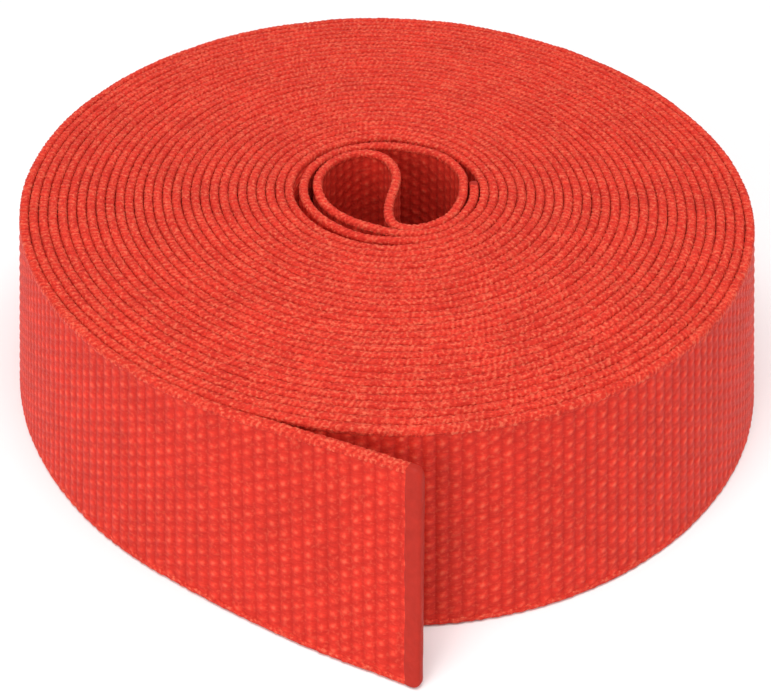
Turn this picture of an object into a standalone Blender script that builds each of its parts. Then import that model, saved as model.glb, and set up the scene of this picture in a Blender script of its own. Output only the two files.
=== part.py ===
"""Flat woven webbing, one long strip wound into a roll that stands on its edge.

The strip is modelled as rigid stretches: four nested groups of turns that telescope along
the roll's axis, the outermost lap as a chain of links that unrolls, and the free end as a
short chain that peels off the roll. Metres, +Z up; the origin is under the middle of the
object's box, on the surface that it stands on.
"""
import math

import bmesh
import bpy
import numpy as np

# The strip
WEB_WIDTH = 0.025
WEB_THICKNESS = 0.00092
END_GAP = 0.0003            # clearance between neighbouring stretches of the strip
SEAL_LENGTH = 0.0016        # melted band along each cut end
SEAL_THICKNESS = 0.0011

# The roll
LAP_PITCH = 0.001227
BORE_RADIUS = 0.0091        # middle of the strip on the innermost lap
OVAL = 0.039                # the roll is a little longer along OVAL_AXIS
OVAL_AXIS = math.radians(-75.2)
SQUARISH = 0.0046           # and very slightly squared by the way it was wound
TAPER = 0.067               # the lower edge winds slightly wider than the upper edge
CORE_OFFSET = (0.0003, 0.0)      # the bore's middle from the middle of the last lap
OUTERMOST = 31.5            # laps at which that offset has died away
STEP_DEGREES = 10

# Where each stretch ends, as the angle wound around the axis, counter-clockwise from +X
SPIRAL_START = -60
CORE_TURNS = 2
INNER_TURNS = 8
MIDDLE_TURNS = 9
LAPS = 30
TAIL_LEAVES = LAPS * 360 - 114
LAP_LINKS = 18

# The free end
TAIL_LENGTH = 0.0241
TAIL_LINKS = 4
TAIL_STRAIGHTENS = 0.0115   # over this length the tail loses the roll's curvature
TAIL_CURLS_BACK = 0.325     # then it bends the other way, by this share of that curvature
TAIL_OVERHANG = (0.0, -0.0061)      # its lower edge from its upper edge, where it ends
OVERHANG_STARTS = 7         # degrees before the tail leaves the roll
LAP_RELIEF = 0.0003         # a link's ends are drawn in by this at its edges, where it leans most
TAIL_RELIEF = 0.0006

# The fold across the bore, from the left lobe's curl, through the bore, to the right lobe
FOLD = [(-2.4, 9.3), (-1.0, 8.55), (0.25, 6.5), (0.95, 4.1), (1.0, 2.1), (0.6, -0.1), (0.1, -2.6),
        (-0.15, -5.0), (-0.05, -7.1), (0.4, -8.6), (1.7, -9.45), (3.6, -9.5)]
FOLD_UNIT = 0.001
# Laps that the strip lies outside the innermost one, at a few angles, until it winds evenly
TRAPPED_END = {
    "angle": (371, 356, 320, 300, 285, 280, 274, 266, 255, 225, 209, 180, 158, 138, 123, 112),
    "lap": (1.95, 1.75, 1.7, 1.65, 1.35, 1.05, 0.75, 0.35, 0.0, 0.0, 0.1, 0.3, 0.6, 0.75, 0.7, 0.45)}
FIRST_LAP = {
    "angle": (-60, -41, -21, 2, 20, 41, 57, 70, 90, 106, 123, 138, 158, 180, 225, 270, 300, 320, 360),
    "lap": (0.6, 0.65, 0.5, 0.6, 1.2, 1.5, 1.55, 1.4, 1.3, 1.5, 1.85, 1.95, 1.9, 1.85, 1.9, 2.1,
            2.7, 2.78, 2.9)}

SAMPLE = 0.00025            # spacing of the centre line's samples
BEND_RADIUS = 0.0008        # how softly the strip takes the corners of its path
CORE_STEP = 0.0016

WEB_RED = (0.78, 0.055, 0.025, 1.0)
SEAL_RED = (0.42, 0.03, 0.015, 1.0)


def lap_xy(angle_deg, laps):
    """Points at these angles, this many laps outside the innermost one."""
    angle = np.radians(angle_deg)
    outline = 1 + OVAL * np.cos(2 * (angle - OVAL_AXIS)) + SQUARISH * np.cos(4 * angle)
    radius = (BORE_RADIUS + laps * LAP_PITCH) * outline
    round_bore = np.stack([radius * np.cos(angle), radius * np.sin(angle)], axis=1)
    return round_bore + np.outer(1 - laps / OUTERMOST, CORE_OFFSET)


def trapped_end_xy():
    """The inner end, clockwise from its cut to the curl of the left lobe."""
    angle = np.arange(TRAPPED_END["angle"][0], TRAPPED_END["angle"][-1], -2.0)
    laps = np.interp(angle, TRAPPED_END["angle"][::-1], TRAPPED_END["lap"][::-1])
    return lap_xy(angle, laps)


def spiral_laps(angle_deg):
    """Laps outside the innermost one along the winding, from the fold outwards."""
    first = np.interp(angle_deg, FIRST_LAP["angle"], FIRST_LAP["lap"])
    return np.where(angle_deg < 360, first, FIRST_LAP["lap"][-1] + (angle_deg - 360) / 360)


def tail_xy(start, heading):
    """The free end, which leaves the roll along its tangent."""
    length = np.arange(1, round(TAIL_LENGTH / SAMPLE) + 9) * SAMPLE
    roll_radius = np.hypot(*start)
    bend = SAMPLE / roll_radius * np.clip(1 - length / TAIL_STRAIGHTENS, -TAIL_CURLS_BACK, 1)
    angle = heading + np.cumsum(bend)
    steps = SAMPLE * np.stack([np.cos(angle), np.sin(angle)], axis=1)
    return start + np.cumsum(steps, axis=0)


def smooth(values, radius):
    """Gaussian average along the samples; the ends are extended in a straight line."""
    reach = int(3 * radius / SAMPLE)
    weights = np.exp(-0.5 * (np.arange(-reach, reach + 1) * SAMPLE / radius) ** 2)
    padded = np.pad(values, reach, mode="reflect", reflect_type="odd")
    return np.convolve(padded, weights / weights.sum(), mode="valid")


def centre_line():
    """Evenly spaced samples of the strip's middle: position, wound angle and outward side."""
    wound = np.arange(SPIRAL_START, TAIL_LEAVES + 0.5, 1.0)
    turns = lap_xy(wound, spiral_laps(wound))
    heading = math.atan2(*(turns[-1] - turns[-2])[::-1])
    fold = np.array(FOLD) * FOLD_UNIT + CORE_OFFSET
    pieces = [trapped_end_xy(), fold, turns, tail_xy(turns[-1], heading)]
    xy = np.concatenate(pieces)
    before = SPIRAL_START - np.arange(len(pieces[0]) + len(pieces[1]), 0, -1.0)
    after = TAIL_LEAVES + np.arange(1.0, len(pieces[3]) + 1)
    angle = np.concatenate([before, wound, after])
    along = np.concatenate([[0], np.cumsum(np.hypot(*np.diff(xy, axis=0).T))])
    even = np.arange(0, along[-1], SAMPLE)
    x = smooth(np.interp(even, along, xy[:, 0]), BEND_RADIUS)
    y = smooth(np.interp(even, along, xy[:, 1]), BEND_RADIUS)
    forward = np.stack([np.gradient(x), np.gradient(y)], axis=1)
    forward /= np.hypot(*forward.T)[:, None]
    return {
        "along": even,
        "xy": np.stack([x, y], axis=1),
        "side": np.stack([forward[:, 1], -forward[:, 0]], axis=1),
        "wound": np.interp(even, along, angle),
    }


LINE = centre_line()


def station(wound_deg):
    """Distance along the strip where it has wound through this angle."""
    return float(np.interp(wound_deg, LINE["wound"], LINE["along"]))


TAIL_START = station(TAIL_LEAVES)
TAIL_END = TAIL_START + TAIL_LENGTH
OVERHANG_START = station(TAIL_LEAVES - OVERHANG_STARTS)
FLAT_FROM = TAIL_END - TAIL_LENGTH / TAIL_LINKS     # the last link is flat, without twist


def at(name, along):
    """A value of the centre line at this distance along the strip."""
    return np.array([np.interp(along, LINE["along"], LINE[name][:, i]) for i in (0, 1)])


def overhang(along):
    """From the upper edge out to the lower edge, in plan."""
    wound = at("xy", min(along, FLAT_FROM)) * TAPER
    part = np.clip((along - OVERHANG_START) / (FLAT_FROM - OVERHANG_START), 0, 1)
    part = part * part * (3 - 2 * part)
    return wound * (1 - part) + np.array(TAIL_OVERHANG) * part


def web_point(along, across, height):
    """A point of the strip: across its thickness in metres, height from 0 to 1 up its width."""
    wound = at("xy", min(along, FLAT_FROM)) * TAPER
    reach = overhang(along)
    xy = at("xy", along) - wound / 2 + reach * (1 - height) + at("side", along) * across
    swung = max(np.hypot(*reach) - np.hypot(*wound), 0)
    rise = math.sqrt(WEB_WIDTH ** 2 - swung ** 2)
    return (xy[0], xy[1], height * rise)


def ribbon(name, stations, material, thickness=WEB_THICKNESS, pivot=(0, 0), relief=0.0):
    """A closed stretch of the strip through these stations, standing on its edge."""
    mesh = bpy.data.meshes.new(name)
    bm = bmesh.new()
    bmesh.ops.create_grid(bm, x_segments=len(stations) - 1, y_segments=1, size=1)
    floor = list(bm.verts)
    raised = bmesh.ops.extrude_face_region(bm, geom=list(bm.faces))
    roof = [v for v in raised["geom"] if isinstance(v, bmesh.types.BMVert)]
    for height, verts in ((0, floor), (1, roof)):
        for vert in verts:
            place = (vert.co.x + 1) / 2 * (len(stations) - 1)
            index = round(place)
            along = stations[index]
            if relief and index == 0:
                along += relief * abs(2 * height - 1)
            if relief and index == len(stations) - 1:
                along -= relief * abs(2 * height - 1)
            vert.co = web_point(along, vert.co.y * thickness / 2, height)
    bm.normal_update()
    bmesh.ops.recalc_face_normals(bm, faces=bm.faces)
    bmesh.ops.translate(bm, verts=bm.verts, vec=(-pivot[0], -pivot[1], 0))
    bm.to_mesh(mesh)
    bm.free()
    obj = bpy.data.objects.new(name, mesh)
    obj.location = (pivot[0], pivot[1], 0)
    obj.data.materials.append(material)
    PARTS.objects.link(obj)
    return obj


def material(name, colour, roughness):
    mat = bpy.data.materials.new(name)
    mat.use_nodes = True
    shader = mat.node_tree.nodes["Principled BSDF"]
    shader.inputs["Base Color"].default_value = colour
    shader.inputs["Roughness"].default_value = roughness
    mat.diffuse_color = colour
    return mat


def hinge_xy(along):
    """The bending axis between two links: upright, through the middle of the strip there."""
    middle = np.array(web_point(along, 0, 0.5))
    return middle[:2]


def wound_stations(first_deg, last_deg, step=STEP_DEGREES):
    """Stations every step, counted back from where the tail leaves, so laps line up."""
    count = round((last_deg - first_deg) / step)
    return [station(last_deg - step * i) for i in range(count, -1, -1)]


def trim(stations, start_gap, end_gap):
    """The same stations with both ends drawn in, to clear the neighbouring stretches."""
    return [stations[0] + start_gap, *stations[1:-1], stations[-1] - end_gap]


def nested_turns(web):
    """Four groups of turns, from the fold in the bore out to the last lap but one."""
    outer_end = TAIL_LEAVES - 360
    core_end = outer_end - 360 * (LAPS - 1 - CORE_TURNS)
    inner_end = core_end + 360 * INNER_TURNS
    middle_end = inner_end + 360 * MIDDLE_TURNS
    half = END_GAP / 2
    first_even = core_end - 360 * (CORE_TURNS - 1)
    fold_length = station(first_even)
    fold = list(np.linspace(SEAL_LENGTH, fold_length, round(fold_length / CORE_STEP)))
    core = fold + wound_stations(first_even, core_end)[1:]
    ribbon("web_core_fold", trim(core, half, half), web)
    for name, first, last in (("web_inner_turns", core_end, inner_end),
                              ("web_middle_turns", inner_end, middle_end),
                              ("web_outer_turns", middle_end, outer_end)):
        ribbon(name, trim(wound_stations(first, last), half, half), web)


def lap_links(web):
    """The outermost lap, in links that hinge at the middle of the strip's thickness."""
    span = 360 / LAP_LINKS
    for i in range(LAP_LINKS):
        first = TAIL_LEAVES - 360 + span * i
        stations = wound_stations(first, first + span)
        gap = END_GAP / 2
        pivot = hinge_xy(stations[0])
        ribbon(f"web_lap_link_{i + 1:02d}", trim(stations, gap, gap), web, pivot=pivot, relief=LAP_RELIEF)


def tail_links(web):
    """The free end, in short straight links, with room at their edges for the lean."""
    length = TAIL_LENGTH / TAIL_LINKS
    for i in range(TAIL_LINKS):
        first = TAIL_START + length * i
        stations = [first, first + length]
        gap = END_GAP / 2
        pivot = hinge_xy(first)
        ribbon(f"web_tail_link_{i + 1}", trim(stations, gap, gap), web, pivot=pivot, relief=TAIL_RELIEF)


def sealed_end(name, seal, first, last, pivot=(0, 0)):
    """The melted band along a cut end, with rounded corners."""
    obj = ribbon(name, [first, last], seal, thickness=SEAL_THICKNESS, pivot=pivot)
    bevel = obj.modifiers.new("corners", "BEVEL")
    bevel.width = SEAL_THICKNESS / 3
    bevel.segments = 2
    bevel.limit_method = "ANGLE"
    obj.data.shade_smooth()
    obj.data.set_sharp_from_angle(angle=math.radians(40))
    return obj


def stand_on_origin():
    """Move every piece so that the origin is under the middle of the whole object's box."""
    corners = np.array([obj.location + vert.co for obj in PARTS.objects for vert in obj.data.vertices])
    middle = (corners.min(axis=0) + corners.max(axis=0)) / 2
    for obj in PARTS.objects:
        obj.location.x -= middle[0]
        obj.location.y -= middle[1]


for old in list(bpy.data.objects):
    bpy.data.objects.remove(old, do_unlink=True)
PARTS = bpy.data.collections.new("flat_web_roll")
bpy.context.scene.collection.children.link(PARTS)

woven = material("woven_web", WEB_RED, 0.75)
melted = material("melted_end", SEAL_RED, 0.35)
nested_turns(woven)
lap_links(woven)
tail_links(woven)
sealed_end("sealed_end_inner", melted, 0.0, SEAL_LENGTH - END_GAP / 2)
last_hinge = hinge_xy(TAIL_END - TAIL_LENGTH / TAIL_LINKS)
sealed_end("sealed_end_outer", melted, TAIL_END + END_GAP / 2, TAIL_END + SEAL_LENGTH, last_hinge)
stand_on_origin()
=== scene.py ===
import math

import bmesh
import bpy
import numpy as np
from mathutils.noise import noise as noise_at
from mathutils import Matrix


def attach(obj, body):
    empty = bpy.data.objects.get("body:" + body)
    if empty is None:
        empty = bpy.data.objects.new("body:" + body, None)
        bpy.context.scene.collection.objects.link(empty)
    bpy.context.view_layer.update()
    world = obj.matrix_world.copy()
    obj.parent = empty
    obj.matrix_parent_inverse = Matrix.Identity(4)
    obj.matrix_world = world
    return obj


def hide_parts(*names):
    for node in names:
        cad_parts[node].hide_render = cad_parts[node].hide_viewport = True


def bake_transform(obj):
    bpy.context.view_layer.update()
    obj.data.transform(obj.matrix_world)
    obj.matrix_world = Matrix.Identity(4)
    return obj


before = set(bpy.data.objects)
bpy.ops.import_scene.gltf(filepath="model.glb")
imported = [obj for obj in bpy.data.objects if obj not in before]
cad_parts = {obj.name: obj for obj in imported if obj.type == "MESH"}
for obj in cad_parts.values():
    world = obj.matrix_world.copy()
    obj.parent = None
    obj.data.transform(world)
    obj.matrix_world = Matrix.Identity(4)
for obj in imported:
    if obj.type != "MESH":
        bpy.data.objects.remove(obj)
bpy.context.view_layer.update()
scene = bpy.context.scene


# ------------------------------------------------------------------------------------------
# The studio. A pale seamless floor, a broad soft light overhead and in front, and a camera
# that looks down on the roll from the front.

EYE = (0.00014, -0.17443, 0.13347)
LOOKS_DOWN = 35.80
LENS = 78.30
SENSOR = 36
LENS_SHIFT = -0.0385

camera = bpy.data.objects.new("camera", bpy.data.cameras.new("camera"))
camera.location = EYE
camera.rotation_euler = (math.radians(90 - LOOKS_DOWN), 0, 0)
camera.data.lens = LENS
camera.data.sensor_width = SENSOR
camera.data.shift_y = LENS_SHIFT
camera.data.clip_start = 0.01
scene.collection.objects.link(camera)
scene.camera = camera

FLOOR_HALF = 1.5
FLOOR_WHITE = (0.95, 0.95, 0.95, 1)
FLOOR_BELOW = 0.0001

floor_bm = bmesh.new()
bmesh.ops.create_grid(floor_bm, x_segments=2, y_segments=2, size=FLOOR_HALF)
floor_mesh = bpy.data.meshes.new("floor")
floor_bm.to_mesh(floor_mesh)
floor_bm.free()
floor = bpy.data.objects.new("floor", floor_mesh)
floor.location.z = -FLOOR_BELOW
scene.collection.objects.link(floor)
paper = bpy.data.materials.new("floor_paper")
paper.use_nodes = True
paper_shader = paper.node_tree.nodes["Principled BSDF"]
paper_shader.inputs["Base Color"].default_value = FLOOR_WHITE
paper_shader.inputs["Roughness"].default_value = 0.9
floor.data.materials.append(paper)

# name, place, aims at, side of the panel in metres, watts
SOFT_LIGHTS = [
    ("overhead_light", (0.00, -0.14, 0.53), (0, 0, 0), 0.40, 2.0),
    ("front_left_light", (-0.30, -0.45, 0.25), (0, 0, 0.01), 0.30, 1.05),
    ("right_light", (0.50, -0.12, 0.28), (0, 0, 0.01), 0.30, 0.2),
]
for name, place, aim, side, watts in SOFT_LIGHTS:
    lamp = bpy.data.lights.new(name, "AREA")
    lamp.size = side
    lamp.energy = watts
    light = bpy.data.objects.new(name, lamp)
    light.location = place
    aim_line = light.location.copy()
    aim_line -= type(aim_line)(aim)
    light.rotation_euler = aim_line.to_track_quat("Z", "Y").to_euler()
    scene.collection.objects.link(light)

world = bpy.data.worlds.new("soft_room")
world.use_nodes = True
world.node_tree.nodes["Background"].inputs["Color"].default_value = (1, 1, 1, 1)
world.node_tree.nodes["Background"].inputs["Strength"].default_value = 0.56
scene.world = world
scene.view_settings.view_transform = "Standard"


# ------------------------------------------------------------------------------------------
# The path of the strip. One length of 25 mm webbing is wound on its edge from a fold in the
# bore out through thirty laps, and its last stretch leaves the roll as a free end.

WEB_WIDTH = 0.025
ROLL_AXIS = (0.0003044, 0.00442676)
LAP_PITCH = 0.001227
BORE_RADIUS = 0.0091
OVAL = 0.039
OVAL_AXIS = math.radians(-75.2)
SQUARISH = 0.0046
TAPER = 0.067
CORE_OFFSET = (0.0003, 0.0)
OUTERMOST = 31.5
SPIRAL_START = -60
LAPS = 30
TAIL_LEAVES = LAPS * 360 - 114
TAIL_LENGTH = 0.0241
TAIL_LINKS = 4
TAIL_STRAIGHTENS = 0.0115
TAIL_CURLS_BACK = 0.325
TAIL_OVERHANG = (0.0, -0.0061)
OVERHANG_STARTS = 7
FOLD_MM = [(-2.4, 9.3), (-1.0, 8.55), (0.25, 6.5), (0.95, 4.1), (1.0, 2.1), (0.6, -0.1), (0.1, -2.6),
           (-0.15, -5.0), (-0.05, -7.1), (0.4, -8.6), (1.7, -9.45), (3.6, -9.5)]
TRAPPED_ANGLES = (371, 356, 320, 300, 285, 280, 274, 266, 255, 225, 209, 180, 158, 138, 123, 112)
TRAPPED_LAPS = (1.95, 1.75, 1.7, 1.65, 1.35, 1.05, 0.75, 0.35, 0, 0, 0.1, 0.3, 0.6, 0.75, 0.7, 0.45)
FIRST_ANGLES = (-60, -41, -21, 2, 20, 41, 57, 70, 90, 106, 123, 138, 158, 180, 225, 270, 300, 320, 360)
FIRST_LAPS = (0.6, 0.65, 0.5, 0.6, 1.2, 1.5, 1.55, 1.4, 1.3, 1.5, 1.85, 1.95, 1.9, 1.85, 1.9, 2.1,
              2.7, 2.78, 2.9)
SAMPLE = 0.00025
BEND_RADIUS = 0.0008


def lap_xy(angle_deg, laps):
    angle = np.radians(angle_deg)
    outline = 1 + OVAL * np.cos(2 * (angle - OVAL_AXIS)) + SQUARISH * np.cos(4 * angle)
    radius = (BORE_RADIUS + laps * LAP_PITCH) * outline
    round_bore = np.stack([radius * np.cos(angle), radius * np.sin(angle)], axis=1)
    return round_bore + np.outer(1 - laps / OUTERMOST, CORE_OFFSET)


def softened(values):
    """The path's corners, taken as softly as the stiff strip takes them."""
    reach = int(3 * BEND_RADIUS / SAMPLE)
    weights = np.exp(-0.5 * (np.arange(-reach, reach + 1) * SAMPLE / BEND_RADIUS) ** 2)
    padded = np.pad(values, reach, mode="reflect", reflect_type="odd")
    return np.convolve(padded, weights / weights.sum(), mode="valid")


def wind_strip():
    trapped = np.arange(TRAPPED_ANGLES[0], TRAPPED_ANGLES[-1], -2.0)
    trapped_end = lap_xy(trapped, np.interp(trapped, TRAPPED_ANGLES[::-1], TRAPPED_LAPS[::-1]))
    wound = np.arange(SPIRAL_START, TAIL_LEAVES + 0.5, 1.0)
    even_laps = FIRST_LAPS[-1] + (wound - FIRST_ANGLES[-1]) / 360
    first_laps = np.interp(wound, FIRST_ANGLES, FIRST_LAPS)
    turns = lap_xy(wound, np.where(wound < FIRST_ANGLES[-1], first_laps, even_laps))
    length = np.arange(1, round(TAIL_LENGTH / SAMPLE) + 9) * SAMPLE
    bend = SAMPLE / np.hypot(*turns[-1]) * np.clip(1 - length / TAIL_STRAIGHTENS, -TAIL_CURLS_BACK, 1)
    angle = math.atan2(*(turns[-1] - turns[-2])[::-1]) + np.cumsum(bend)
    tail = turns[-1] + np.cumsum(SAMPLE * np.stack([np.cos(angle), np.sin(angle)], axis=1), axis=0)
    fold = np.array(FOLD_MM) / 1000 + CORE_OFFSET
    xy = np.concatenate([trapped_end, fold, turns, tail])
    before = SPIRAL_START - np.arange(len(trapped_end) + len(FOLD_MM), 0, -1.0)
    after = TAIL_LEAVES + np.arange(1.0, len(tail) + 1)
    along = np.concatenate([[0], np.cumsum(np.hypot(*np.diff(xy, axis=0).T))])
    even = np.arange(0, along[-1], SAMPLE)
    x = softened(np.interp(even, along, xy[:, 0]))
    y = softened(np.interp(even, along, xy[:, 1]))
    forward = np.stack([np.gradient(x), np.gradient(y)])
    forward /= np.hypot(*forward)
    angles = np.interp(even, along, np.concatenate([before, wound, after]))
    return {"along": even, "x": x, "y": y, "side_x": forward[1], "side_y": -forward[0],
            "wound": angles}


STRIP = wind_strip()


def station(wound_deg):
    """Distance along the strip where it has wound through this angle."""
    return float(np.interp(wound_deg, STRIP["wound"], STRIP["along"]))


TAIL_START = station(TAIL_LEAVES)
TAIL_END = TAIL_START + TAIL_LENGTH
OVERHANG_START = station(TAIL_LEAVES - OVERHANG_STARTS)
FLAT_FROM = TAIL_END - TAIL_LENGTH / TAIL_LINKS


def strip_points(along, across, up):
    """Points of the strip: metres along it, outwards from its middle, and up from its lower edge."""
    x, y, side_x, side_y = (np.interp(along, STRIP["along"], STRIP[k])
                            for k in ("x", "y", "side_x", "side_y"))
    held_at = np.minimum(along, FLAT_FROM)
    held_x, held_y = (np.interp(held_at, STRIP["along"], STRIP[k]) * TAPER for k in ("x", "y"))
    part = np.clip((along - OVERHANG_START) / (FLAT_FROM - OVERHANG_START), 0, 1)
    part = part * part * (3 - 2 * part)
    reach_x = held_x * (1 - part) + TAIL_OVERHANG[0] * part
    reach_y = held_y * (1 - part) + TAIL_OVERHANG[1] * part
    down = 1 - up / WEB_WIDTH
    x = x - held_x / 2 + reach_x * down + side_x * across + ROLL_AXIS[0]
    y = y - held_y / 2 + reach_y * down + side_y * across + ROLL_AXIS[1]
    swung = np.maximum(np.hypot(reach_x, reach_y) - np.hypot(held_x, held_y), 0)
    z = up * np.sqrt(1 - (swung / WEB_WIDTH) ** 2)
    return np.stack([x, y, z], axis=-1)


# ------------------------------------------------------------------------------------------
# The weave. Heavy polyester webbing is a plain weave: each warp yarn passes over every other
# pick of weft and swells where it is on top, and the picks stand out as ribs across the web.

RIB = 0.00142               # from one pick to the next
WARP_ROWS = 34              # warp yarns side by side across the width
ROW = WEB_WIDTH / WARP_ROWS
HALF_WEB = 0.00053          # from the middle of the web to the middle of a rib's crest
FLOAT_RISE = 0.000035
YARN_ROUND = 0.00004
YARN_SLANT = 0.45           # a float leans this much of a rib across its yarn
RIB_DIP = 0.00016           # the hollow between two ribs
RIB_SAMPLES = 6
FINE_ROW = 4                # points across each warp yarn
COARSE_ROW = 3
EDGE_MARGIN = 0.0005        # the faces end this far from the web's two edges
RELIEF_FADES = 0.0008
MELT_FADE = 0.0016          # towards the sealed end the ribs have sunk into each other


def uneven(picks, rows):
    """A steady random number from 0 to 1 for each crossing of a pick and a yarn."""
    return np.modf(np.abs(np.sin(np.rint(picks) * 12.9898 + rows * 78.233)) * 43758.5453)[0]


def yarn_relief(picks, rows, face):
    """How far the yarns stand out of a face, in metres; face is 1 outside and -1 inside."""
    best = np.full(np.broadcast(picks, rows).shape, -1.0)
    for row in (np.floor(rows) - 1, np.floor(rows), np.floor(rows) + 1):
        lean = YARN_SLANT * (rows - row - 0.5)
        over = np.cos(np.pi * (picks - lean - row)) * face * (0.6 + 0.8 * uneven(picks - lean, row))
        arc = ((rows - row - 0.5) * 2) ** 2
        best = np.maximum(best, FLOAT_RISE * over - YARN_ROUND * arc)
    return best


def wander(along, seed):
    """A slow irregular swing between -1 and 1 along the strip."""
    turns = along / np.array([0.0093, 0.0171, 0.0317])[:, None] + seed * np.array([1.3, 2.1, 0.7])[:, None]
    return np.sin(2 * np.pi * turns).sum(axis=0) / 3


def valley(along):
    """The nearest place between two ribs, where one piece can end and the next begin."""
    return (round(along / RIB - 0.5) + 0.5) * RIB


def closed_tube(name, stations, ring, place, covered=()):
    """A tube through the stations; place gives its points and the weave's coordinates there.

    The ring's columns of faces in covered take the material of the laps that don't show.
    """
    bm = bmesh.new()
    bmesh.ops.create_grid(bm, x_segments=len(stations) - 1, y_segments=ring, size=1)
    mesh = bpy.data.meshes.new(name)
    bm.to_mesh(mesh)
    bm.free()
    co = np.zeros(len(mesh.vertices) * 3, np.float32)
    mesh.vertices.foreach_get("co", co)
    co = co.reshape(-1, 3)
    i = np.rint((co[:, 0] + 1) / 2 * (len(stations) - 1)).astype(int)
    j = np.rint((co[:, 1] + 1) / 2 * ring).astype(int)
    points, weave_at = place(np.asarray(stations)[i], j % ring)
    mesh.vertices.foreach_set("co", points.astype(np.float32).ravel())
    layer = mesh.attributes.new("weave_at", "FLOAT_VECTOR", "POINT")
    layer.data.foreach_set("vector", weave_at.astype(np.float32).ravel())
    if covered:
        corners = np.zeros(len(mesh.loops), np.int32)
        mesh.loops.foreach_get("vertex_index", corners)
        column = j[corners].reshape(-1, 4).min(axis=1)
        mesh.polygons.foreach_set("material_index", np.isin(column, covered).astype(np.int32))
    bm = bmesh.new()
    bm.from_mesh(mesh)
    bpy.data.meshes.remove(mesh)
    ring_edges = [e for e in bm.edges if e.is_boundary]
    seam = list({v for e in ring_edges for v in e.verts})
    bmesh.ops.remove_doubles(bm, verts=seam, dist=1e-7)
    rims = [e for e in bm.edges if e.is_boundary]
    bmesh.ops.edgeloop_fill(bm, edges=rims)
    for face in bm.faces:
        face.smooth = True
    for edge in rims:
        edge.smooth = False
    return bm


def web_body(name, first, last, outside, inside):
    """A stretch of the web between its edges. Each face has that many points per yarn, or 0."""
    top = WEB_WIDTH - EDGE_MARGIN
    ups, faces, fine = [], [], []
    for face, per_row in ((1, outside), (-1, inside)):
        line = np.linspace(EDGE_MARGIN, top, round(per_row * (top - EDGE_MARGIN) / ROW) + 1 if per_row else 2)
        ups += list(line[::face])
        faces += [face] * len(line)
        fine += [bool(per_row)] * len(line)
    ups, faces, fine = np.array(ups), np.array(faces), np.array(fine)
    if outside or inside:
        count = max(2, round((last - first) / RIB * RIB_SAMPLES) + 1)
    else:
        count = max(2, round((last - first) / PLAIN_STEP) + 1)
    stations = np.linspace(first, last, count)

    def place(along, j):
        up, face = ups[j], faces[j]
        picks, rows = along / RIB, up / ROW
        rib = np.abs(np.cos(np.pi * picks))
        yarns = yarn_relief(picks, rows, face)
        relief = (yarns - RIB_DIP * (1 - rib)) * fine[j]
        relief = relief * np.clip((TAIL_END - along) / MELT_FADE, 0.1, 1)
        edge = np.clip(np.minimum(up - EDGE_MARGIN, top - up) / RELIEF_FADES, 0, 1)
        across = face * (HALF_WEB + relief * (0.3 + 0.7 * edge))
        across = across + LAP_SWING * wander(along, 1.0)
        # The crown sets the painted highlight on floats and ribs and the painted shade in the hollows; covered
        # faces take a middle tone.
        crown = np.clip(0.15 + 0.50 * rib + 0.24 * rib * yarns / FLOAT_RISE, 0, 1)
        crown = np.where(fine[j], crown, 0.5)
        return strip_points(along, across, up), np.stack([picks, rows, crown], axis=-1)

    covered = [k for k in range(len(ups)) if not fine[k]]
    return closed_tube(name, stations, len(ups), place, covered)


PLAIN_STEP = 0.0012
LAP_SWING = 0.00003


# ------------------------------------------------------------------------------------------
# The edges. At each edge the weft turns back round the last warp yarns, which makes a firm
# rounded cord that looks twisted. Wound up, the thirty upper edges are the roll's top.

EDGE_HALF = 0.00061         # half the cord's width, and half its height
EDGE_HEIGHT = 0.00050
EDGE_RING = 8
EDGE_TWIST = 0.0014         # one turn of the two strands
EDGE_STEP = RIB / 9
LOWER_STEP = RIB / 3
STRAND_DIP = 0.15
SCALLOP = 0.07              # the cord is pinched between two ribs
FLATTENED = 0.55            # under 1 the cord's section is squarer than round
BEAD = 0.0007
EDGE_WAVES = 0.00007
bead_sizes = np.random.default_rng(3).random((3, 9000))


def by_bead(along, row):
    """A steady random number from -1 to 1 that changes from bead to bead of the cord."""
    return 2 * np.interp(along / BEAD, np.arange(bead_sizes.shape[1]), bead_sizes[row]) - 1


def squared(turn):
    return np.sign(turn) * np.abs(turn) ** FLATTENED


def web_edge(name, first, last, upper):
    step = EDGE_STEP if upper else LOWER_STEP
    count = max(2, round((last - first) / step) + 1)
    stations = np.linspace(first, last, count)
    middle = WEB_WIDTH - EDGE_HEIGHT if upper else EDGE_HEIGHT

    def place(along, j):
        angle = 2 * np.pi * (j + 0.5) / EDGE_RING - np.pi / 2
        twist = 2 * np.pi * along / EDGE_TWIST + 1.3 * wander(along * 2.7, 4.0) + 0.5 * by_bead(along, 0)
        strand = np.abs(np.cos(angle - twist))
        dip = STRAND_DIP * (1 + 0.5 * by_bead(along, 1))
        pinch = SCALLOP * (1 - np.abs(np.cos(np.pi * along / RIB)))
        swell = (1 - dip + dip * strand) * (1 - pinch)
        wound = np.radians(np.interp(along, STRIP["along"], STRIP["wound"]))
        room = 1 + OVAL * np.cos(2 * (wound - OVAL_AXIS)) + SQUARISH * np.cos(4 * wound)
        wave = (EDGE_WAVES * wander(along, 2.0) + 0.00004 * by_bead(along, 2)) * upper
        across = EDGE_HALF * room * swell * squared(np.cos(angle)) + LAP_SWING * wander(along, 1.0)
        up = middle + EDGE_HEIGHT * swell * squared(np.sin(angle)) * (1 if upper else -1) + wave
        # The third number sets the cord's colour: painted shade in the groove between its strands, lighter on
        # a strand, and a random tone from bead to bead.
        weave_at = np.stack([along / RIB, j / 2.0, 0.45 + 0.35 * strand + 0.12 * by_bead(along, 1)], axis=-1)
        return strip_points(along, across, up), weave_at

    cord = closed_tube(name, stations, EDGE_RING, place)
    for face in cord.faces:
        face.material_index = 2
    return cord


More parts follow.
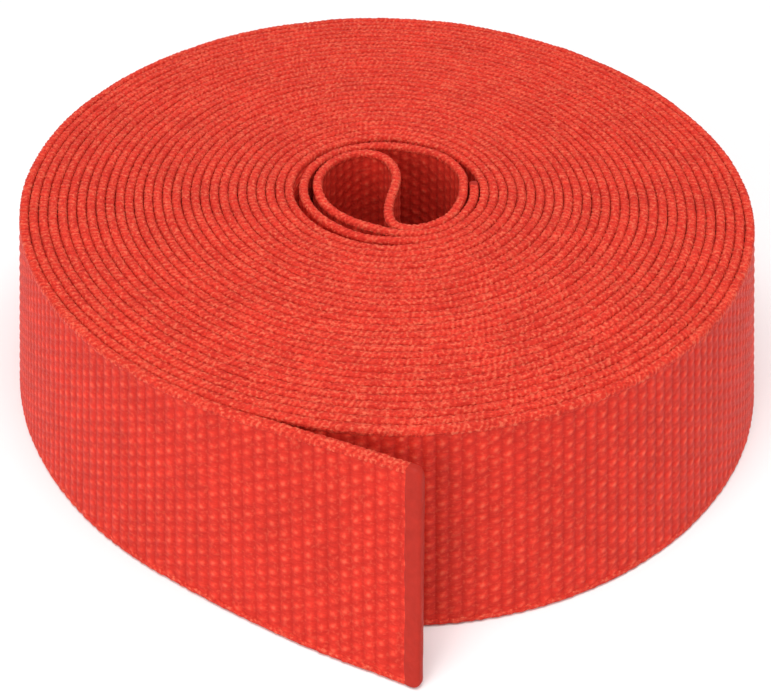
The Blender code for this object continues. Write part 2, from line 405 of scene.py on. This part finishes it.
# ------------------------------------------------------------------------------------------
# The yarn. Dyed polyester filament with a soft lustre. Its colour has a painted highlight where a
# yarn lies on top and painted shade, deeper red, in the hollows, with fine filaments running
# along each yarn.

# The painted highlight for the yarns' tops, the yarn's own colour, and the painted shade for the hollows.
YARN_PAINTED_HIGHLIGHT = (0.84, 0.150, 0.080, 1)
YARN_BODY = (0.70, 0.037, 0.020, 1)
YARN_PAINTED_SHADE = (0.50, 0.019, 0.012, 1)
# The same noise also places dark specks of painted shade.
SPECK_SIZE = 2600           # noise scale of the tiny glints where filaments catch the light


def yarn_group():
    group = bpy.data.node_groups.new("dyed_yarn", "ShaderNodeTree")
    socket = group.interface.new_socket
    socket("Weave", in_out="INPUT", socket_type="NodeSocketVector")
    socket("Crown", in_out="INPUT", socket_type="NodeSocketFloat")
    socket("Bright", in_out="INPUT", socket_type="NodeSocketColor")
    socket("Body", in_out="INPUT", socket_type="NodeSocketColor")
    socket("PaintedShade", in_out="INPUT", socket_type="NodeSocketColor")
    socket("PaintedSpecks", in_out="INPUT", socket_type="NodeSocketFloat")
    socket("Color", in_out="OUTPUT", socket_type="NodeSocketColor")
    socket("Roughness", in_out="OUTPUT", socket_type="NodeSocketFloat")
    socket("Height", in_out="OUTPUT", socket_type="NodeSocketFloat")
    nodes, link = group.nodes, group.links.new
    given, made = nodes.new("NodeGroupInput"), nodes.new("NodeGroupOutput")

    stretch = nodes.new("ShaderNodeMapping")
    stretch.inputs["Scale"].default_value = (1.6, 9.0, 0.0)
    stretch.inputs["Rotation"].default_value = (0, 0, 0.35)
    link(given.outputs["Weave"], stretch.inputs["Vector"])
    filaments = nodes.new("ShaderNodeTexNoise")
    filaments.inputs["Scale"].default_value = 1.0
    filaments.inputs["Detail"].default_value = 2.0
    link(stretch.outputs["Vector"], filaments.inputs["Vector"])

    patches = nodes.new("ShaderNodeTexNoise")
    patches.inputs["Scale"].default_value = 260
    patches.inputs["Detail"].default_value = 3.0
    where = nodes.new("ShaderNodeTexCoord")
    link(where.outputs["Object"], patches.inputs["Vector"])

    # By the crown: painted shade in the hollows, the yarn's own colour between, a painted highlight on top.
    tones = []
    for low, high, dark, light in ((0.1, 0.7, "PaintedShade", "Body"), (0.70, 1.15, None, "Bright")):
        ramp = nodes.new("ShaderNodeMapRange")
        ramp.inputs["From Min"].default_value = low
        ramp.inputs["From Max"].default_value = high
        link(given.outputs["Crown"], ramp.inputs["Value"])
        tone = nodes.new("ShaderNodeMix")
        tone.data_type = "RGBA"
        link(ramp.outputs["Result"], tone.inputs["Factor"])
        link(given.outputs[dark] if dark else tones[-1].outputs["Result"], tone.inputs["A"])
        link(given.outputs[light], tone.inputs["B"])
        tones.append(tone)

    vary = nodes.new("ShaderNodeMath")
    vary.operation = "ADD"
    link(filaments.outputs["Fac"], vary.inputs[0])
    link(patches.outputs["Fac"], vary.inputs[1])
    span = nodes.new("ShaderNodeMapRange")
    span.inputs["From Min"].default_value = 0.7
    span.inputs["From Max"].default_value = 1.3
    span.inputs["To Min"].default_value = 0.87
    span.inputs["To Max"].default_value = 1.14
    link(vary.outputs["Value"], span.inputs["Value"])
    shade = nodes.new("ShaderNodeVectorMath")
    shade.operation = "SCALE"
    link(tone.outputs["Result"], shade.inputs[0])
    link(span.outputs["Result"], shade.inputs["Scale"])
    specks = nodes.new("ShaderNodeTexNoise")
    specks.inputs["Scale"].default_value = SPECK_SIZE
    specks.inputs["Detail"].default_value = 1.0
    link(where.outputs["Object"], specks.inputs["Vector"])
    speckled_color = shade.outputs["Vector"]
    # Tiny painted glints toward the painted highlight, and dark specks of painted shade, scaled by the group's
    # speck amount.
    for low, high, yarn in ((0.54, 0.70, "Bright"), (0.46, 0.30, "PaintedShade")):
        glint = nodes.new("ShaderNodeMapRange")
        glint.inputs["From Min"].default_value = low
        glint.inputs["From Max"].default_value = high
        link(specks.outputs["Fac"], glint.inputs["Value"])
        amount = nodes.new("ShaderNodeMath")
        amount.operation = "MULTIPLY"
        link(glint.outputs["Result"], amount.inputs[0])
        link(given.outputs["PaintedSpecks"], amount.inputs[1])
        speck_mix = nodes.new("ShaderNodeMix")
        speck_mix.data_type = "RGBA"
        link(amount.outputs["Value"], speck_mix.inputs["Factor"])
        link(speckled_color, speck_mix.inputs["A"])
        link(given.outputs[yarn], speck_mix.inputs["B"])
        speckled_color = speck_mix.outputs["Result"]
    link(speckled_color, made.inputs["Color"])

    gloss = nodes.new("ShaderNodeMapRange")
    gloss.inputs["From Min"].default_value = 0.35
    gloss.inputs["From Max"].default_value = 0.65
    gloss.inputs["To Min"].default_value = 0.62
    gloss.inputs["To Max"].default_value = 0.40
    link(filaments.outputs["Fac"], gloss.inputs["Value"])
    link(gloss.outputs["Result"], made.inputs["Roughness"])
    rough = nodes.new("ShaderNodeMath")
    rough.operation = "ADD"
    link(filaments.outputs["Fac"], rough.inputs[0])
    link(specks.outputs["Fac"], rough.inputs[1])
    link(rough.outputs["Value"], made.inputs["Height"])
    return group


DYED_YARN = yarn_group()


def woven_material(name, painted_specks, relief):
    """The yarn's shader; the second argument sets how strongly painted glints and dark specks of painted shade
    show, relief how far its filaments stand out.
    """
    mat = bpy.data.materials.new(name)
    mat.use_nodes = True
    nodes, link = mat.node_tree.nodes, mat.node_tree.links.new
    shader = nodes["Principled BSDF"]
    weave_at = nodes.new("ShaderNodeAttribute")
    weave_at.attribute_name = "weave_at"
    split = nodes.new("ShaderNodeSeparateXYZ")
    link(weave_at.outputs["Vector"], split.inputs["Vector"])
    yarn = nodes.new("ShaderNodeGroup")
    yarn.node_tree = DYED_YARN
    yarn.inputs["Bright"].default_value = YARN_PAINTED_HIGHLIGHT
    yarn.inputs["Body"].default_value = YARN_BODY
    yarn.inputs["PaintedShade"].default_value = YARN_PAINTED_SHADE
    yarn.inputs["PaintedSpecks"].default_value = painted_specks
    link(weave_at.outputs["Vector"], yarn.inputs["Weave"])
    link(split.outputs["Z"], yarn.inputs["Crown"])
    link(yarn.outputs["Color"], shader.inputs["Base Color"])
    link(yarn.outputs["Roughness"], shader.inputs["Roughness"])
    bump = nodes.new("ShaderNodeBump")
    bump.inputs["Strength"].default_value = 0.7
    bump.inputs["Distance"].default_value = relief
    link(yarn.outputs["Height"], bump.inputs["Height"])
    link(bump.outputs["Normal"], shader.inputs["Normal"])
    shader.inputs["Specular IOR Level"].default_value = 0.10
    shader.inputs["Sheen Weight"].default_value = 0.04
    shader.inputs["Sheen Roughness"].default_value = 0.4
    shader.inputs["Sheen Tint"].default_value = (1.0, 0.5, 0.35, 1)
    return mat


# The edges carry stronger painted glints and painted shade specks than the faces.
WOVEN = woven_material("woven_web", 0.2, 0.00005)
EDGE_YARN = woven_material("woven_web_edge", 0.8, 0.0002)


def flat_weave_group():
    """The weave's crowns from its coordinates, for laps that are hidden under the next one; they set the
    painted highlight and painted shade of the yarn's colour, and a bump.
    """
    group = bpy.data.node_groups.new("flat_weave", "ShaderNodeTree")
    group.interface.new_socket("Weave", in_out="INPUT", socket_type="NodeSocketVector")
    group.interface.new_socket("Crown", in_out="OUTPUT", socket_type="NodeSocketFloat")
    nodes, link = group.nodes, group.links.new
    given, made = nodes.new("NodeGroupInput"), nodes.new("NodeGroupOutput")
    split = nodes.new("ShaderNodeSeparateXYZ")
    link(given.outputs["Weave"], split.inputs["Vector"])

    def math_node(operation, first, second=None):
        node = nodes.new("ShaderNodeMath")
        node.operation = operation
        for socket, value in zip(node.inputs, (first, second)):
            if isinstance(value, (int, float)):
                socket.default_value = value
            elif value is not None:
                link(value, socket)
        return node.outputs["Value"]

    picks, rows = split.outputs["X"], split.outputs["Y"]
    row = math_node("FLOOR", rows)
    over = math_node("COSINE", math_node("MULTIPLY", math_node("SUBTRACT", picks, row), math.pi))
    across = math_node("SINE", math_node("MULTIPLY", math_node("FRACT", rows), math.pi))
    rib = math_node("ABSOLUTE", math_node("COSINE", math_node("MULTIPLY", picks, math.pi)))
    yarn = math_node("MULTIPLY", math_node("ADD", math_node("MULTIPLY", over, 0.25), 0.35), across)
    link(math_node("ADD", yarn, math_node("MULTIPLY", rib, 0.4)), made.inputs["Crown"])
    return group


def hidden_material():
    mat = woven_material("woven_web_covered", 0.2, 0.00005)
    nodes, link = mat.node_tree.nodes, mat.node_tree.links.new
    flat = nodes.new("ShaderNodeGroup")
    flat.node_tree = flat_weave_group()
    link(nodes["Attribute"].outputs["Vector"], flat.inputs["Weave"])
    yarn = next(n for n in nodes if n.type == "GROUP" and n.node_tree == DYED_YARN)
    link(flat.outputs["Crown"], yarn.inputs["Crown"])
    relief = nodes.new("ShaderNodeBump")
    relief.inputs["Distance"].default_value = 0.0002
    link(flat.outputs["Crown"], relief.inputs["Height"])
    link(relief.outputs["Normal"], nodes["Bump"].inputs["Normal"])
    return mat


COVERED = hidden_material()


def web_piece(name, first, last, outside=0, inside=0):
    """One stretch of the finished web: its body and its two edges, in one mesh."""
    shells = [web_body(name, first, last, outside, inside),
              web_edge(name, first, last, True), web_edge(name, first, last, False)]
    bm = shells[0]
    for shell in shells[1:]:
        part = bpy.data.meshes.new("part")
        shell.to_mesh(part)
        shell.free()
        bm.from_mesh(part)
        bpy.data.meshes.remove(part)
    bm.normal_update()
    bmesh.ops.recalc_face_normals(bm, faces=bm.faces)
    mesh = bpy.data.meshes.new(name)
    bm.to_mesh(mesh)
    bm.free()
    mesh.materials.append(WOVEN)
    mesh.materials.append(COVERED)
    mesh.materials.append(EDGE_YARN)
    piece = bpy.data.objects.new(name, mesh)
    scene.collection.objects.link(piece)
    return piece


# ------------------------------------------------------------------------------------------
# The wound turns, from the fold in the bore outwards, in four nested groups that slide up
# through each other. The strip runs on from group to group along a ramp of half a lap.

CORE_TURNS = 2
INNER_TURNS = 8
MIDDLE_TURNS = 9
RAMP = 90
OUTER_END = TAIL_LEAVES - 360
CORE_END = OUTER_END - 360 * (LAPS - 1 - CORE_TURNS)
INNER_END = CORE_END + 360 * INNER_TURNS
MIDDLE_END = INNER_END + 360 * MIDDLE_TURNS
SEAL_LENGTH = 0.0016
BORE_FACES = 400            # degrees wound before the faces inside the bore are covered


def stretch(name, first, last, body, nodes=(), outside=0, inside=0, declared=True):
    piece = web_piece(name, first, last, outside, inside)
    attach(piece, body)
    if nodes:
        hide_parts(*nodes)
    return piece


def ramp(name, at_deg, child, parent):
    """The half lap where the strip passes from one group of turns to the next."""
    first, last = valley(station(at_deg - RAMP)), valley(station(at_deg + RAMP))
    piece = web_piece(name, first, last)
    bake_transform(piece)
    return piece


bore_first = SEAL_LENGTH
bore_last = valley(station(BORE_FACES))
core_last = valley(station(CORE_END - RAMP))
fold_last = valley((bore_first + bore_last) / 2)
bore_fold = stretch("bore_fold", bore_first, fold_last, "core", ["web_core_fold"],
                    COARSE_ROW, COARSE_ROW, declared=False)
stretch("bore_lap", fold_last, bore_last, "core", [], COARSE_ROW, COARSE_ROW)
stretch("core_turns", bore_last, core_last, "core")
ramp("core_ramp", CORE_END, "core", "inner_turns")
inner_first, inner_last = valley(station(CORE_END + RAMP)), valley(station(INNER_END - RAMP))
stretch("inner_turns", inner_first, inner_last, "inner_turns", ["web_inner_turns"])
ramp("inner_ramp", INNER_END, "inner_turns", "middle_turns")
middle_first, middle_last = valley(station(INNER_END + RAMP)), valley(station(MIDDLE_END - RAMP))
middle_half = valley((middle_first + middle_last) / 2)
stretch("middle_turns_1", middle_first, middle_half, "middle_turns", ["web_middle_turns"])
stretch("middle_turns_2", middle_half, middle_last, "middle_turns")
ramp("middle_ramp", MIDDLE_END, "middle_turns", "outer_turns")
LINK = 20
LAP_LINKS = 18
outer_first = valley(station(MIDDLE_END + RAMP))
outer_last = valley(station(OUTER_END - LINK / 2))
last_covered = valley(station(OUTER_END - 360))
OUTER_PARTS = 3
cuts = [valley(outer_first + (last_covered - outer_first) * k / OUTER_PARTS) for k in range(OUTER_PARTS + 1)]
for k in range(OUTER_PARTS):
    stretch(f"outer_turns_{k + 1}", cuts[k], cuts[k + 1], "outer_turns", ["web_outer_turns"])
second_half = valley((last_covered + outer_last) / 2)
stretch("covered_lap_1", last_covered, second_half, "outer_turns", outside=COARSE_ROW)
stretch("covered_lap_2", second_half, outer_last, "outer_turns", outside=COARSE_ROW)


# ------------------------------------------------------------------------------------------
# The last lap, which unrolls. Each piece runs from the middle of one link to the middle of
# the next. The tail first bends where it leaves the roll.


def bending(name, first, last, nodes=()):
    piece = web_piece(name, first, last, FINE_ROW, COARSE_ROW)
    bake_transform(piece)
    if nodes:
        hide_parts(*nodes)
    return piece


lap_cuts = [valley(station(OUTER_END + LINK * (k - 0.5))) for k in range(LAP_LINKS + 1)]
for k in range(LAP_LINKS):
    last_link = bending(f"lap_web_{k + 1:02d}", lap_cuts[k], lap_cuts[k + 1],
                        [f"web_lap_link_{k + 1:02d}"])


# ------------------------------------------------------------------------------------------
# The free end. It stands away from the roll by its own stiffness, with its lower edge
# further out, and peels off; it is made in four short pieces and its tip.

tail_link = TAIL_LENGTH / TAIL_LINKS
tail_cuts = [lap_cuts[-1]] + [valley(TAIL_START + tail_link * (k + 0.5)) for k in range(TAIL_LINKS)]
tail_webs = [bending(f"tail_web_{k + 1}", tail_cuts[k], tail_cuts[k + 1],
                     [f"web_tail_link_{k + 1}"])
             for k in range(TAIL_LINKS)]
tail_tip = web_piece("tail_web_tip", tail_cuts[-1], TAIL_END, FINE_ROW, FINE_ROW)
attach(tail_tip, "tail_4")


# ------------------------------------------------------------------------------------------
# The sealed ends. The strip is cut with a hot knife, which melts the yarns together into a
# smooth hard bead with rounded corners, darker than the web.

SEAL_RED = (0.42, 0.024, 0.014, 1)
SEAL_THICK = 0.00118
SEAL_CORNER = 0.0010        # the corners melt back to this radius
SEAL_EDGE = 0.00042
SEAL_CUTS = 60
SEAL_LUMPS = 0.00007
LUMP_SCALE = 700
SEAL_OVERLAP = 0.0004       # how far the melt has run back over the weave

melted = bpy.data.materials.new("melted_end")
melted.use_nodes = True
melted_nodes, melted_link = melted.node_tree.nodes, melted.node_tree.links.new
melted_shader = melted_nodes["Principled BSDF"]
melted_shader.inputs["Specular IOR Level"].default_value = 0.12
melted_where = melted_nodes.new("ShaderNodeTexCoord")
for scale, low, high, target in ((900, (0.80,) * 3, (1.2,) * 3, "Base Color"), (1500, 0.38, 0.6, "Roughness")):
    noise = melted_nodes.new("ShaderNodeTexNoise")
    noise.inputs["Scale"].default_value = scale
    noise.inputs["Detail"].default_value = 3.0
    melted_link(melted_where.outputs["Object"], noise.inputs["Vector"])
    if target == "Base Color":
        tint = melted_nodes.new("ShaderNodeMix")
        tint.data_type = "RGBA"
        tint.inputs["A"].default_value = tuple(c * low[0] for c in SEAL_RED[:3]) + (1,)
        tint.inputs["B"].default_value = tuple(c * high[0] for c in SEAL_RED[:3]) + (1,)
        melted_link(noise.outputs["Fac"], tint.inputs["Factor"])
        melted_link(tint.outputs["Result"], melted_shader.inputs[target])
    else:
        span = melted_nodes.new("ShaderNodeMapRange")
        span.inputs["To Min"].default_value = low
        span.inputs["To Max"].default_value = high
        melted_link(noise.outputs["Fac"], span.inputs["Value"])
        melted_link(span.outputs["Result"], melted_shader.inputs[target])
        ripple = melted_nodes.new("ShaderNodeBump")
        ripple.inputs["Distance"].default_value = 0.00008
        melted_link(noise.outputs["Fac"], ripple.inputs["Height"])
        melted_link(ripple.outputs["Normal"], melted_shader.inputs["Normal"])


def sealed_end(name, cut, web, body, node):
    """A melted end from the cut, at cut metres along the strip, back over the web."""
    length = abs(web - cut)
    bm = bmesh.new()
    bmesh.ops.create_cube(bm, size=1)
    bmesh.ops.translate(bm, verts=bm.verts, vec=(0.5, 0, 0.5))
    bmesh.ops.scale(bm, verts=bm.verts, vec=(length, SEAL_THICK, WEB_WIDTH))
    corners = [e for e in bm.edges if all(v.co.x < 1e-6 for v in e.verts)
               and abs(e.verts[0].co.y - e.verts[1].co.y) > SEAL_THICK / 2]
    bmesh.ops.bevel(bm, geom=corners, offset=SEAL_CORNER, offset_type="OFFSET", segments=5, profile=0.5,
                    affect="EDGES", material=-1)
    sharp = [e for e in bm.edges if e.calc_face_angle(0) > math.radians(60)]
    bmesh.ops.bevel(bm, geom=sharp, offset=SEAL_EDGE, offset_type="OFFSET", segments=4, profile=0.5,
                    affect="EDGES", material=-1)
    for k in range(1, SEAL_CUTS):
        bmesh.ops.bisect_plane(bm, geom=bm.verts[:] + bm.edges[:] + bm.faces[:],
                               plane_co=(0, 0, WEB_WIDTH * k / SEAL_CUTS), plane_no=(0, 0, 1), dist=1e-6)
    for vert in bm.verts:
        lump = noise_at(vert.co * LUMP_SCALE) * SEAL_LUMPS
        along = cut + (vert.co.x + lump) * (1 if web > cut else -1)
        vert.co = strip_points(np.array([along]), vert.co.y * (1 + lump / SEAL_LUMPS * 0.08),
                               np.array([vert.co.z]))[0]
    bm.normal_update()
    bmesh.ops.recalc_face_normals(bm, faces=bm.faces)
    for face in bm.faces:
        face.smooth = True
    mesh = bpy.data.meshes.new(name)
    bm.to_mesh(mesh)
    bm.free()
    mesh.materials.append(melted)
    piece = bpy.data.objects.new(name, mesh)
    scene.collection.objects.link(piece)
    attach(piece, body)
    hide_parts(node)
    return piece


inner_end = sealed_end("sealed_inner_end", 0.0, SEAL_LENGTH + SEAL_OVERLAP, "core", "sealed_end_inner")
outer_end = sealed_end("sealed_outer_end", TAIL_END + SEAL_LENGTH, TAIL_END - SEAL_OVERLAP,
                       "tail_4", "sealed_end_outer")
